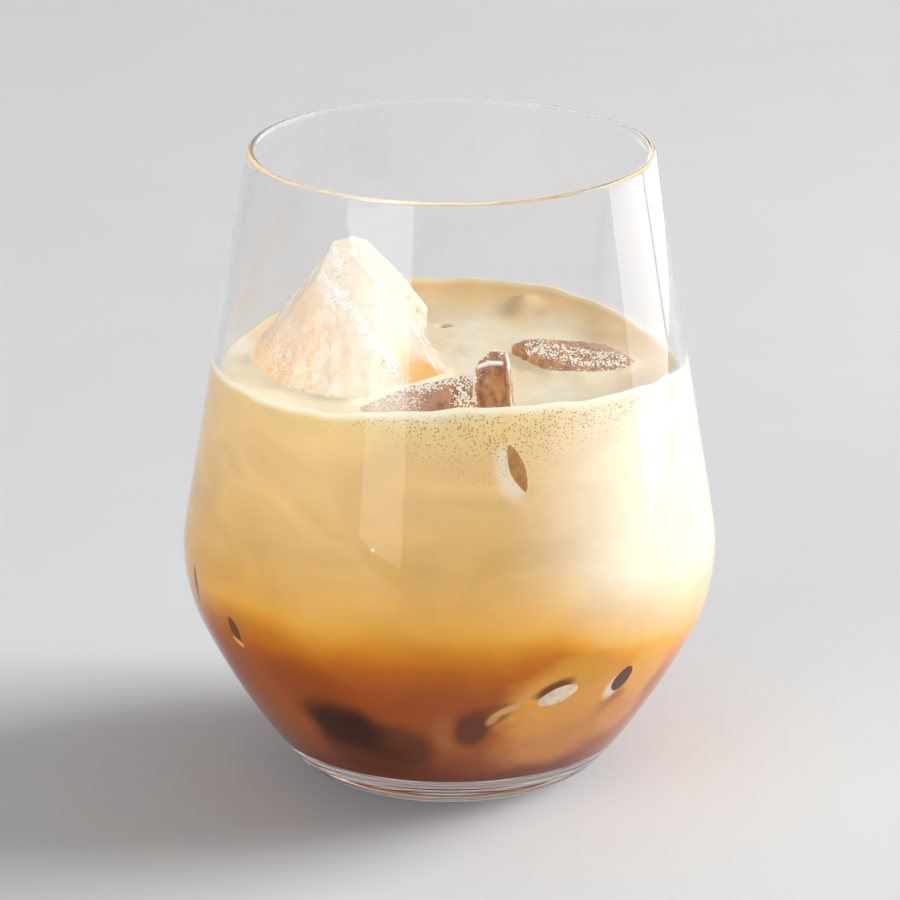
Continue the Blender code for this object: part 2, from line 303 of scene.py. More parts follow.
def chipped(name, node, grain):
    """A finely meshed copy of a solid piece of ice, with shallow chips, worn ridges and a frosty skin."""
    piece = bpy.data.objects.new(name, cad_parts[node].data.copy())
    bpy.context.scene.collection.objects.link(piece)
    remesh = piece.modifiers.new("Fine mesh", "REMESH")
    remesh.mode = "VOXEL"
    remesh.voxel_size = grain
    apply_modifiers(piece)
    mesh = piece.data
    ridges = stroke_shares(mesh, node, "crease_highlight")
    offsets = []
    for corner, ridge in zip(mesh.vertices, ridges):
        broad, sharp = [noise.noise(corner.co / size) for size in CHIP_SIZES]
        chips = broad + 0.9 * abs(sharp) - 0.25
        coarse, fine = [noise.noise(corner.co / size) for size in FROST_SIZES]
        frost = coarse + 0.6 * fine
        depth = chips * CHIP_DEPTH * (1 - ridge) + frost * FROST_DEPTH + ridge * CREASE_HEIGHT
        offsets.append(corner.normal * depth)
    kinds = ("crease_highlight", "frost", "clear", "warm", "pale")
    shares = {kind: stroke_shares(mesh, node, kind) for kind in kinds}
    for corner, offset in zip(mesh.vertices, offsets):
        corner.co += offset
    mesh.materials.clear()
    mesh.shade_smooth()
    mark_edges(mesh, grain)
    for kind in kinds:
        attribute = mesh.attributes.new(kind, "FLOAT", "POINT")
        attribute.data.foreach_set("value", shares[kind].astype(numpy.float32))
    return piece


def stroke_shares(mesh, node, wanted):
    """How strongly the strokes of one kind cover each corner of a mesh."""
    places = numpy.empty(len(mesh.vertices) * 3)
    mesh.vertices.foreach_get("co", places)
    places = places.reshape(-1, 3) / MM
    shares = numpy.zeros(len(places))
    for kind, half_width, strength, points in STROKES[node]:
        if kind != wanted:
            continue
        nearest = numpy.full(len(places), numpy.inf)
        for start, end in zip(points, points[1:]):
            run = numpy.subtract(end, start)
            along = ((places - start) @ run / (run @ run)).clip(0, 1)
            gap = numpy.linalg.norm(places - start - along[:, None] * run, axis=1)
            nearest = numpy.minimum(nearest, gap)
        shares = numpy.maximum(shares, strength * numpy.exp(-((nearest / half_width) ** 2)))
    return shares


def mark_edges(mesh, grain):
    """Store how sharply the ice bulges at each corner of its mesh, spread a little, as "worn_edge"."""
    smoothing_rounds, spreading_rounds = 10, 2
    count = len(mesh.vertices)
    places = numpy.empty(count * 3)
    normals = numpy.empty(count * 3)
    mesh.vertices.foreach_get("co", places)
    mesh.vertices.foreach_get("normal", normals)
    places, normals = places.reshape(-1, 3), normals.reshape(-1, 3)
    ends = numpy.empty(len(mesh.edges) * 2, dtype=numpy.int64)
    mesh.edges.foreach_get("vertices", ends)
    starts, stops = ends[0::2], ends[1::2]
    shares = numpy.bincount(ends, minlength=count).clip(1)

    def spread(values):
        total = numpy.bincount(starts, values[stops], count) + numpy.bincount(stops, values[starts], count)
        return total / shares

    smooth = places.copy()
    for _ in range(smoothing_rounds):
        smooth = numpy.stack([spread(smooth[:, axis]) for axis in range(3)], axis=1)
    bulge = ((places - smooth) * normals).sum(axis=1) / grain
    for _ in range(spreading_rounds):
        bulge = spread(bulge)
    attribute = mesh.attributes.new("worn_edge", "FLOAT", "POINT")
    attribute.data.foreach_set("value", bulge.astype(numpy.float32))


def freezer_ice(name, colours, edge_reach, frost_up, mist, clearness, painted_glow):
    """Freezer ice: glassy where it is clear, white in grains where it is frosted, pale along worn edges.

    colours: dark streak, light streak, warm, clear, pale and frost. The ice also gives off a faint light in
    its own
    colour: painted light.
    """
    streak_size, grain_size, lump_size = 2.4 * MM, 0.42 * MM, 0.9 * MM
    dark_colour, light_colour, warm_colour, glassy_colour, pale_colour, frost_colour = colours
    material, tree = new_material(name)
    place = add(tree, "TexCoord").outputs["Object"]

    def painted(kind):
        return add(tree, "Attribute", attribute_name=kind).outputs["Fac"]

    streak_place = add(tree, "Mapping", {"Vector": place, "Rotation": (0, 0.6, 0), "Scale": (1.5, 1, 0.6)})
    streaks = add(tree, "TexNoise", {
        "Vector": streak_place.outputs[0], "Scale": 1 / streak_size, "Detail": 4.0, "Distortion": 0.5,
    })
    streak_share = add(tree, "MapRange", {
        "Value": streaks.outputs["Fac"], "From Min": 0.35, "From Max": 0.65,
    })
    streaked = add(tree, "Mix", {
        0: streak_share.outputs[0], 6: linear(dark_colour), 7: linear(light_colour),
    }, data_type="RGBA")
    warm_gain = add(tree, "MapRange", {
        "Value": streaks.outputs["Fac"], "From Min": 0.35, "From Max": 0.65, "To Min": 0.5, "To Max": 1.2,
    })
    warm_share = add(tree, "Math", {0: painted("warm"), 1: warm_gain.outputs[0]}, operation="MULTIPLY",
                     use_clamp=True)
    warmed = add(tree, "Mix", {0: warm_share.outputs[0], 6: streaked.outputs[2], 7: linear(warm_colour)},
                 data_type="RGBA")
    glassy = add(tree, "Mix", {0: painted("clear"), 6: warmed.outputs[2], 7: linear(glassy_colour)},
                 data_type="RGBA")
    misty_share = add(tree, "Math", {0: painted("frost"), 1: mist}, operation="MULTIPLY")
    misty = add(tree, "Mix", {0: misty_share.outputs[0], 6: glassy.outputs[2], 7: linear(frost_colour)},
                data_type="RGBA")
    paled = add(tree, "Mix", {0: painted("pale"), 6: misty.outputs[2], 7: linear(pale_colour)},
                data_type="RGBA")
    grains = add(tree, "TexVoronoi", {"Vector": place, "Scale": 1 / grain_size})
    lumps = add(tree, "TexNoise", {"Vector": place, "Scale": 1 / lump_size, "Detail": 2.0})
    grain_level = add(tree, "Math", {0: lumps.outputs["Fac"], 1: 0.9, 2: grains.outputs["Distance"]},
                      operation="MULTIPLY_ADD")
    facing = add(tree, "NewGeometry").outputs["Normal"]
    up = add(tree, "SeparateXYZ", {0: facing}).outputs["Z"]
    cover = add(tree, "Math", {0: up, 1: frost_up, 2: painted("frost")}, operation="MULTIPLY_ADD")
    cover_level = add(tree, "MapRange", {"Value": cover.outputs[0], "To Min": 0.35, "To Max": 1.35})
    past = add(tree, "Math", {0: cover_level.outputs[0], 1: grain_level.outputs[0]}, operation="SUBTRACT")
    grained = add(tree, "MapRange", {"Value": past.outputs[0], "From Min": -0.06, "From Max": 0.08})
    worn = add(tree, "MapRange", {
        "Value": painted("worn_edge"), "From Min": edge_reach[0], "From Max": edge_reach[1], "To Max": 0.8,
    })
    # Painted highlight: the raised edges listed in the strokes are painted frost-white along their length,
    # partly as frost.
    crease_highlight = add(tree, "MapRange", {"Value": painted("crease_highlight"), "From Min": 0.25, "From Max": 0.8})
    bright = add(tree, "Math", {0: worn.outputs[0], 1: crease_highlight.outputs[0]}, operation="MAXIMUM")
    frost = add(tree, "Math", {0: grained.outputs[0], 1: bright.outputs[0]}, operation="MAXIMUM")
    colour = add(tree, "Mix", {0: frost.outputs[0], 6: paled.outputs[2], 7: linear(frost_colour)},
                 data_type="RGBA")
    roughness = add(tree, "MapRange", {"Value": frost.outputs[0], "To Min": 0.08, "To Max": 0.5})
    clear_share = add(tree, "MapRange", {"Value": painted("clear"), "To Min": clearness, "To Max": 0.8})
    see_through = add(tree, "Mix", {0: frost.outputs[0], 2: clear_share.outputs[0], 3: 0.05})
    grain_bump = add(tree, "Bump", {
        "Strength": 0.5, "Distance": 0.12 * MM, "Height": grained.outputs[0],
    })
    bump = add(tree, "Bump", {
        "Strength": 0.35, "Distance": 0.8 * MM, "Height": streaks.outputs["Fac"],
        "Normal": grain_bump.outputs[0],
    })
    shader = add(tree, "BsdfPrincipled", {
        "Base Color": colour.outputs[2], "Roughness": roughness.outputs[0], "IOR": 1.31,
        "Transmission Weight": see_through.outputs[0], "Normal": bump.outputs[0],
        "Subsurface Weight": 0.5, "Subsurface Scale": 4 * MM, "Subsurface Radius": (1.0, 0.9, 0.8),
        "Coat Weight": 0.8, "Coat Roughness": 0.08, "Coat Normal": bump.outputs[0],
        "Emission Color": colour.outputs[2], "Emission Strength": painted_glow,
    })
    lets_lamps_through(tree, shader.outputs[0], 0.0, 0.7)
    return material


frosted_ice = freezer_ice(
    "freezer_ice_frosted", ("#E6DBD1", "#F1EBE5", "#E6AC64", "#EDF0EC", "#7F7C66", "#FFFEFC"),
    edge_reach=(0.35, 1.0), frost_up=0.0, mist=0.5, clearness=0.45, painted_glow=0.13,
)
coffee_ice = freezer_ice(
    "freezer_ice_wet_with_coffee", ("#8C4E1C", "#C88C50", "#C07830", "#D9B088", "#EED6C2", "#FFF3E4"),
    edge_reach=(0.5, 1.2), frost_up=0.12, mist=0.1, clearness=0.12, painted_glow=0.12,
)
ice_pieces = {
    "ice_large_chipped": ("ice_large", LARGE_GRAIN, frosted_ice),
    "ice_centre_chipped": ("ice_centre", ICE_GRAIN, coffee_ice),
    "ice_right_chipped": ("ice_right", ICE_GRAIN, coffee_ice),
}
ice_shapes = []
for name, (node, grain, finish) in ice_pieces.items():
    piece = chipped(name, node, grain)
    piece.data.materials.append(finish)
    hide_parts(node)
    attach(piece, "root")
    ice_shapes.append(BVHTree.FromObject(piece, bpy.context.evaluated_depsgraph_get()))

# The dark coffee
# Strong coffee that has sunk below the milk: dark brown and a little clear, with amber painted light where
# light would come through it. It fills the glass, so its side lies just inside the wall's inner surface.
LAYER_HEIGHT = 34 * MM
INTO_WALL = 0.25 * MM
DRINK_STEPS = 256
# The drink's colour from the bottom up: (height in mm, colour).
LAYER_COLOURS = (
    (9, "#6E3012"), (13, "#884214"), (18, "#964A10"), (23, "#95450A"), (27.5, "#97470B"),
    (31.5, "#AD5A0C"), (34, "#BF6F0F"), (36.4, "#D08A24"), (39.1, "#DCA040"), (45.9, "#E2B064"),
    (52.4, "#E6B872"), (60, "#EFC483"), (68, "#F2C98A"), (73, "#F4D493"), (76, "#F8E6BC"),
)


def between(points, low, high):
    """The stretch of a rising line of points that lies between two heights."""
    kept = []
    for (r0, z0), (r1, z1) in zip(points, points[1:]):
        if z1 <= low or z0 >= high:
            continue
        for height in (max(z0, low), min(z1, high)):
            share = (height - z0) / (z1 - z0)
            point = (r0 + (r1 - r0) * share, height)
            if not kept or height > kept[-1][1]:
                kept.append(point)
    return kept


def drink_side(low, high):
    """Points up the side of the drink between two heights, just inside the glass."""
    inset = WALL - INTO_WALL
    side = tumbler_side(inset, BASE_THICKNESS - INTO_WALL, INNER_CORNER_RADIUS + INTO_WALL)
    return between(side + upper_wall(inset, WALL_START, 80 * MM, 34), low, high)


def drink_colour(tree, place):
    """The drink's colour by height, its layers running into one another in soft clouds, with painted light
    on its right.
    """
    cloud_size, streak_size, wisp_size = 16 * MM, 6 * MM, 22 * MM
    cloud_lift, streak_lift = 5 * MM, 1.6 * MM
    height = add(tree, "SeparateXYZ", {0: place}).outputs["Z"]
    clouds = add(tree, "TexNoise", {"Vector": place, "Scale": 1 / cloud_size, "Detail": 2.0,
                                    "Distortion": 0.6})
    streaks = add(tree, "TexNoise", {"Vector": place, "Scale": 1 / streak_size, "Detail": 3.0})
    lifted = add(tree, "Math", {0: clouds.outputs["Fac"], 1: cloud_lift, 2: height},
                 operation="MULTIPLY_ADD")
    swirled = add(tree, "Math", {0: streaks.outputs["Fac"], 1: streak_lift, 2: lifted.outputs[0]},
                  operation="MULTIPLY_ADD")
    mean_lift = (cloud_lift + streak_lift) / 2
    flat_level = add(tree, "Math", {0: swirled.outputs[0], 1: mean_lift}, operation="SUBTRACT")
    across = add(tree, "SeparateXYZ", {0: place}).outputs["X"]
    # Painted light: the level rises toward the right, so the colour is paler there, where the key light
    # falls.
    painted_light_rise = add(tree, "MapRange", {
        "Value": across, "From Min": 18 * MM, "From Max": 42 * MM, "To Min": 0.0, "To Max": 8.5 * MM,
    })
    risen = add(tree, "Math", {0: flat_level.outputs[0], 1: painted_light_rise.outputs[0]}, operation="ADD")
    level = risen.outputs[0]
    low, high = LAYER_COLOURS[0][0], LAYER_COLOURS[-1][0]
    share = add(tree, "MapRange", {"Value": level, "From Min": low * MM, "From Max": high * MM})
    ramp = add(tree, "ValToRGB", {0: share.outputs[0]})
    stops = ramp.color_ramp.elements
    for stop_height, hex_colour in LAYER_COLOURS:
        position = (stop_height - low) / (high - low)
        if stop_height in (low, high):
            stop = stops[0] if stop_height == low else stops[-1]
        else:
            stop = stops.new(position)
        stop.color = linear(hex_colour)
    # Painted light: the coffee under the milk is made brighter toward the right, where the key light falls.
    painted_side_light = add(tree, "MapRange", {
        "Value": across, "From Min": 0.0, "From Max": BELLY_RADIUS, "To Min": 1.12, "To Max": 1.75,
    })
    depth_share = add(tree, "MapRange", {
        "Value": level, "From Min": 37 * MM, "From Max": 50 * MM, "To Min": 0.0, "To Max": 1.0,
    })
    gain = add(tree, "Mix", {0: depth_share.outputs[0], 2: painted_side_light.outputs[0], 3: 1.0})
    lit = add(tree, "VectorMath", {0: ramp.outputs[0], "Scale": gain.outputs[0]}, operation="SCALE")
    capped = add(tree, "VectorMath", {0: lit.outputs[0], 1: (0.93, 0.93, 0.93)}, operation="MINIMUM")
    # Painted light: the upper, milk-coloured part is painted paler toward the right, where the key light
    # falls.
    painted_light_right = add(tree, "MapRange", {
        "Value": across, "From Min": 6 * MM, "From Max": 33 * MM, "To Min": 0.0, "To Max": 0.95,
    }, interpolation_type="SMOOTHSTEP")
    painted_light_share = add(tree, "Math", {0: painted_light_right.outputs[0], 1: depth_share.outputs[0]},
                      operation="MULTIPLY")
    painted_light_mix = add(tree, "Mix", {0: painted_light_share.outputs[0], 6: capped.outputs[0], 7: linear("#FCEFD8")},
                data_type="RGBA")
    wisp_place = add(tree, "Mapping", {"Vector": place, "Scale": (1, 1, 2.2)})
    wisps = add(tree, "TexNoise", {"Vector": wisp_place.outputs[0], "Scale": 1 / wisp_size, "Detail": 3.0,
                                   "Distortion": 1.2})
    wisp_share = add(tree, "MapRange", {
        "Value": wisps.outputs["Fac"], "From Min": 0.3, "From Max": 0.7, "To Min": 0.96, "To Max": 1.12,
    })
    wispy = add(tree, "VectorMath", {0: painted_light_mix.outputs[2], "Scale": wisp_share.outputs[0]},
                operation="SCALE")
    return wispy.outputs[0]


# Soft shapes painted in the coffee behind the glass: the look of sunk ice, painted shadows beside it, a
# painted highlight beside the dark spot, amber painted light on the right and painted shade on the left:
# (angle from the front in degrees, height in mm, half width, half height, roll in degrees, colour, share at
# the middle).
ICE_SHAPES_AND_PAINTED_LIGHT = (
    (29, 25.5, 14.0, 8.5, -12, "#F0A848", 0.92),
    (31, 31.0, 7.0, 5.0, 0, "#E0A030", 0.7),
    (52, 27.0, 7.0, 6.5, 0, "#FFC050", 0.7),
    (50, 18.5, 7.0, 6.0, 0, "#F8AC58", 0.6),
    (-23, 13.0, 12.0, 5.5, 12, "#52200A", 0.7),
    (-27, 19.0, 9.0, 6.6, 14, "#2E0E02", 0.97),
    (-15, 16.4, 8.5, 6.0, 10, "#421806", 0.72),
    (-1, 19.5, 2.4, 5.2, 0, "#A8683C", 0.45),
    (5.5, 20.5, 3.8, 5.2, 0, "#54260F", 0.85),
    (10, 23.5, 4.6, 2.6, -30, "#6A3010", 0.7),
    (10.6, 22.6, 1.8, 0.9, -52, "#D29A62", 0.8),
    (14.2, 24.6, 3.0, 0.85, -25, "#E0A86C", 0.9),
    (19.4, 26.9, 3.2, 0.75, -21, "#DCA058", 0.75),
    (24.4, 27.9, 3.9, 1.6, -22, "#6E3610", 0.95),
    (41.8, 25.4, 2.0, 3.1, 16, "#F6DFC6", 1.0),
    (30, 16.5, 13.0, 7.5, -10, "#E89A4C", 0.72),
    (-34, 27.5, 13.0, 5.5, 10, "#8C3E02", 0.45),
)


def with_soft_shapes(tree, place, colour, stains, wall):
    """A drink's colour with each soft shape laid over it at its wall, whose radius is given."""
    rag_size, depth = 7 * MM, 25 * MM
    rag = add(tree, "TexNoise", {"Vector": place, "Scale": 1 / rag_size, "Detail": 2.0})
    for degrees, height, half_width, half_height, roll, hex_colour, share in stains:
        turn = math.radians(degrees)
        spot = add(tree, "Mapping", {
            "Vector": place, "Location": (wall * math.sin(turn), -wall * math.cos(turn), height * MM),
            "Rotation": (0, math.radians(roll), turn), "Scale": (half_width * MM, depth, half_height * MM),
        }, vector_type="TEXTURE")
        distance = add(tree, "VectorMath", {0: spot.outputs[0]}, operation="LENGTH").outputs["Value"]
        ragged = add(tree, "Math", {0: rag.outputs["Fac"], 1: 0.5, 2: distance}, operation="MULTIPLY_ADD")
        mask = add(tree, "MapRange", {
            "Value": ragged.outputs[0], "From Min": 0.75, "From Max": 1.35, "To Min": share, "To Max": 0.0,
        }, interpolation_type="SMOOTHSTEP")
        colour = add(tree, "Mix", {0: mask.outputs[0], 6: colour, 7: linear(hex_colour)},
                     data_type="RGBA").outputs[2]
    return colour


def dark_coffee():
    """Still coffee behind glass: no gloss of its own, with soft shapes where sunk ice shows through it, and
    painted light and shade.
    """
    murk_size, wall_radius = 10 * MM, BELLY_RADIUS - 6 * MM
    material, tree = new_material("dark_coffee_liquid")
    place = add(tree, "TexCoord").outputs["Object"]
    colour = drink_colour(tree, place)
    shaded = with_soft_shapes(tree, place, colour, ICE_SHAPES_AND_PAINTED_LIGHT, wall_radius)
    murk = add(tree, "TexNoise", {"Vector": place, "Scale": 1 / murk_size, "Detail": 2.0})
    roughness = add(tree, "MapRange", {"Value": murk.outputs["Fac"], "To Min": 0.4, "To Max": 0.7})
    shader = add(tree, "BsdfPrincipled", {
        "Base Color": shaded, "Roughness": roughness.outputs[0], "IOR": 1.34, "Specular IOR Level": 0.05,
    })
    add(tree, "OutputMaterial", {"Surface": shader.outputs[0]})
    return material


# Under SIDE_START the coffee stands clear of the glass by BOTTOM_GAP, so that the base shows as a clear
# lens. Its lid is LID_DROP below the foam, and SHARP keeps two rings apart where an edge is to stay crisp.
LID_DROP = 0.3 * MM
BOTTOM_GAP = 0.2 * MM
SIDE_START = 7.7 * MM
SHARP = 0.02 * MM
coffee_floor = BASE_THICKNESS + BOTTOM_GAP
coffee_bottom = between(
    tumbler_side(WALL + BOTTOM_GAP, coffee_floor, INNER_CORNER_RADIUS - BOTTOM_GAP),
    coffee_floor, SIDE_START - BOTTOM_GAP,
)
coffee_side = (
    drink_side(SIDE_START, LAYER_HEIGHT - SHARP) + drink_side(LAYER_HEIGHT - SHARP, LAYER_HEIGHT)[1:]
)
lid_height = LAYER_HEIGHT - LID_DROP
coffee_top = [(0.0, lid_height), (coffee_side[-1][0] - 2 * LID_DROP, lid_height)]
coffee_profile = coffee_top + coffee_side[::-1] + coffee_bottom[::-1] + [(0.0, coffee_floor)]
coffee = turned("espresso_liquid", coffee_profile, DRINK_STEPS)
coffee.data.materials.append(dark_coffee())
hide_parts("espresso")
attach(coffee, "root")

# The milk foam
# Cold milk shaken to a cream with coffee: opaque and soft-edged, tan where it meets the coffee and pale
# on top. It lies in a pool round the ice and climbs the wall in an uneven, bright-edged line.
POOL_HEIGHT = 71.2 * MM
LINE_HEIGHT = 74.6 * MM
CLIMB_WIDTH = 15 * MM
# The line's rise and fall: (waves round the glass, height, angle of a crest from the front).
LINE_WAVES = (
    (1, 0.5 * MM, math.radians(28)),
    (2, 1.6 * MM, math.radians(10)),
    (3, 0.45 * MM, math.radians(48)),
    (5, 0.4 * MM, math.radians(0)),
    (17, 0.12 * MM, math.radians(4)),
    (29, 0.08 * MM, math.radians(2)),
)
FOAM_RINGS = 96
SWELL_HEIGHT, SWELL_SIZE = 0.35 * MM, 9 * MM
RIPPLE_HEIGHT, RIPPLE_SIZE = 0.08 * MM, 2 * MM
# The foam climbs a little at each piece of ice, runs on level inside it, and then falls away.
MENISCUS_HEIGHT = 0.7 * MM
MENISCUS_REACH = 1.1 * MM
INSIDE_SHELF = 1.2 * MM
INSIDE_SLOPE = 1.5
INSIDE_DEPTH = 6 * MM
# Lumps and pits in the foam's top, a patch of painted light and spots of painted shade: (x, y, height or
# share, reach).
SUNK_LUMP = (13.5 * MM, 31.5 * MM, 2.2 * MM, 2.6 * MM)
PIT = (-1.2 * MM, 24.2 * MM, 1.8 * MM, 0.7 * MM)
PAINTED_LIGHT_LEFT = (-35 * MM, -9 * MM, 1.0, 13 * MM)
# Spots of painted shade: in the pit, on both sides of the sunk lump and at two more places on the top.
PAINTED_SHADE_SPOTS = (
    (-1.2 * MM, 24.2 * MM, 1.0, 0.8 * MM),
    (10.5 * MM, 29.5 * MM, 0.4, 2.4 * MM),
    (16 * MM, 29 * MM, 0.25, 2.0 * MM),
    (-4 * MM, 30 * MM, 0.2, 5 * MM),
    (26 * MM, 17.5 * MM, 0.3, 3 * MM),
)
# A pale halo beside the leaf-shaped ice, laid out as the coffee's soft shapes are.
FOAM_STAINS = (
    (13.8, 65.9, 3.2, 5.8, -12, "#FFF3DA", 0.65),
)


def line_height(x, y):
    """Height of the foam's line on the wall in the direction (x, y)."""
    angle = math.atan2(x, -y)
    height = LINE_HEIGHT
    for waves, swell, crest in LINE_WAVES:
        height += swell * math.cos(waves * (angle - crest))
    return height


def bell(x, y, spot):
    """A soft round bump or pit: spot holds its place, its height and its reach."""
    centre_x, centre_y, height, reach = spot
    distance = math.hypot(x - centre_x, y - centre_y)
    return height * math.exp(-((distance / reach) ** 2))


def foam_rise(x, y, share):
    """How far the foam's top stands over its pool at (x, y); share is 0 in the pool and 1 at the wall."""
    rise = (line_height(x, y) - POOL_HEIGHT) * share**2
    settled = 1 - share**4
    rise += settled * SWELL_HEIGHT * noise.noise(Vector((x, y, 0)) / SWELL_SIZE)
    rise += settled * RIPPLE_HEIGHT * noise.noise(Vector((x, y, 1)) / RIPPLE_SIZE)
    rise += settled * (bell(x, y, SUNK_LUMP) - bell(x, y, PIT))
    place = Vector((x, y, POOL_HEIGHT + rise))
    for shape in ice_shapes:
        distance = shape.find_nearest(place)[3]
        above, above_normal, _, _ = shape.ray_cast(place, Vector((0, 0, 1)))
        if above and above_normal.z > 0 and share < 0.9:
            fall = min(INSIDE_DEPTH, INSIDE_SLOPE * max(0.0, distance - INSIDE_SHELF))
            rise += MENISCUS_HEIGHT * settled - fall
        else:
            rise += MENISCUS_HEIGHT * math.exp(-distance / MENISCUS_REACH) * settled
    return rise


def milk_foam():
    """Fine wet foam: soft, faintly glossy and full of small bubbles that show as dark dots at the wall.

    Its top, its thin edge and a patch of its top left of the large ice give off a faint light of their own:
    painted light.
    """
    bubble_size, cream_size, fine_size = 0.46 * MM, 8 * MM, 0.6 * MM
    material, tree = new_material("milk_foam_fine")
    place = add(tree, "TexCoord").outputs["Object"]
    colour = drink_colour(tree, place)
    colour = with_soft_shapes(tree, place, colour, FOAM_STAINS, upper_wall_radius(66 * MM, WALL))
    under_line = add(tree, "Attribute", attribute_name="under_line").outputs["Fac"]
    on_top = add(tree, "Attribute", attribute_name="on_top").outputs["Fac"]
    cream = add(tree, "TexNoise", {"Vector": place, "Scale": 1 / cream_size, "Detail": 3.0})
    cream_share = add(tree, "MapRange", {"Value": cream.outputs["Fac"], "From Min": 0.3, "From Max": 0.7})
    top_colour = add(tree, "Mix", {0: cream_share.outputs[0], 6: linear("#F7E0B4"), 7: linear("#FDF4E2")},
                     data_type="RGBA")
    # Painted shade: the back of the climb, whose slope faces away from the key light, is painted tan.
    climb = add(tree, "Attribute", attribute_name="climb_painted_shade").outputs["Fac"]
    climb_shaded = add(tree, "Mix", {0: climb, 6: top_colour.outputs[2], 7: linear("#E2B26E")},
                  data_type="RGBA")
    # Painted shade: darker spots in the pit and round the sunk lump.
    brown = add(tree, "Attribute", attribute_name="painted_shade_spots").outputs["Fac"]
    spotted = add(tree, "Mix", {0: brown, 6: climb_shaded.outputs[2], 7: linear("#A8733E")}, data_type="RGBA")
    body = add(tree, "Mix", {0: on_top, 6: colour, 7: spotted.outputs[2]}, data_type="RGBA")
    # Painted highlight: the thin edge just under the line is painted near white.
    edge_share = add(tree, "MapRange", {
        "Value": under_line, "From Min": 0.45 * MM, "From Max": 1.6 * MM, "To Min": 1.0, "To Max": 0.0,
    })
    edged = add(tree, "Mix", {0: edge_share.outputs[0], 6: body.outputs[2], 7: linear("#FFF7DE")},
                data_type="RGBA")
    bubbles = add(tree, "TexVoronoi", {"Vector": place, "Scale": 1 / bubble_size, "Randomness": 1.0})
    size_mix = add(tree, "SeparateXYZ", {0: bubbles.outputs["Color"]}).outputs["X"]
    crowd = add(tree, "Attribute", attribute_name="bubble_crowd").outputs["Fac"]
    dot_size = add(tree, "MapRange", {"Value": size_mix, "From Min": 0.0, "To Min": 0.24, "To Max": 0.48})
    crowded_size = add(tree, "Math", {0: dot_size.outputs[0], 1: crowd}, operation="MULTIPLY")
    past_rim = add(tree, "Math", {0: bubbles.outputs["Distance"], 1: crowded_size.outputs[0]},
                   operation="SUBTRACT")
    dots = add(tree, "MapRange", {
        "Value": past_rim.outputs[0], "From Min": -0.12, "From Max": 0.0, "To Min": 0.8, "To Max": 0.0,
    })
    off_edge = add(tree, "Math", {0: 1.0, 1: edge_share.outputs[0]}, operation="SUBTRACT")
    dots_kept = add(tree, "Math", {0: dots.outputs[0], 1: off_edge.outputs[0]}, operation="MULTIPLY")
    dotted = add(tree, "Mix", {0: dots_kept.outputs[0], 6: edged.outputs[2], 7: linear("#C08C46")},
                 data_type="RGBA")
    fine = add(tree, "TexNoise", {"Vector": place, "Scale": 1 / fine_size, "Detail": 2.0})
    bump = add(tree, "Bump", {"Strength": 0.12, "Distance": 0.1 * MM, "Height": fine.outputs["Fac"]})
    roughness = add(tree, "MapRange", {"Value": cream.outputs["Fac"], "To Min": 0.35, "To Max": 0.6})
    wet = add(tree, "Math", {0: on_top, 1: 0.5}, operation="MULTIPLY")
    # Painted light: the top, a patch left of the large ice and the thin edge under the line give off light
    # of their own.
    painted_top_glow = add(tree, "Mix", {0: on_top, 6: (0, 0, 0, 1), 7: linear("#423C25")}, data_type="RGBA")
    painted_light_left = add(tree, "Attribute", attribute_name="painted_light_left").outputs["Fac"]
    painted_left_glow = add(tree, "Mix", {0: painted_light_left, 6: painted_top_glow.outputs[2], 7: linear("#8C8468")},
                    data_type="RGBA")
    painted_edge_glow = add(tree, "Mix", {0: edge_share.outputs[0], 6: painted_left_glow.outputs[2], 7: linear("#6A6048")},
                    data_type="RGBA")
    shader = add(tree, "BsdfPrincipled", {
        "Base Color": dotted.outputs[2], "Roughness": roughness.outputs[0], "IOR": 1.36,
        "Specular IOR Level": 0.1, "Coat Weight": wet.outputs[0], "Coat Roughness": 0.25,
        "Normal": bump.outputs[0], "Emission Color": painted_edge_glow.outputs[2], "Emission Strength": 1.0,
    })
    add(tree, "OutputMaterial", {"Surface": shader.outputs[0]})
    return material


# The foam is turned with a flat top first. Then its side is stretched from STRETCH_START up to the line,
# and each corner of its top is raised.
FOAM_FOOT = LAYER_HEIGHT - 0.6 * MM
FOAM_SIDE_TOP = POOL_HEIGHT - 0.6 * MM
STRETCH_START = 60 * MM
EDGE_RING = 0.12 * MM
PALE_EDGE_START = 0.88
BACK_FADE = 24 * MM
foam_side = [(radius - SHARP, height) for radius, height in drink_side(FOAM_FOOT, FOAM_SIDE_TOP)]
foam_edge = upper_wall_radius(POOL_HEIGHT, WALL - INTO_WALL) - SHARP
foam_top = [(foam_edge * step / FOAM_RINGS, POOL_HEIGHT) for step in range(FOAM_RINGS + 1)]
foam = turned("milk_foam_body", foam_top + foam_side[::-1] + [(0.0, FOAM_FOOT)], DRINK_STEPS)
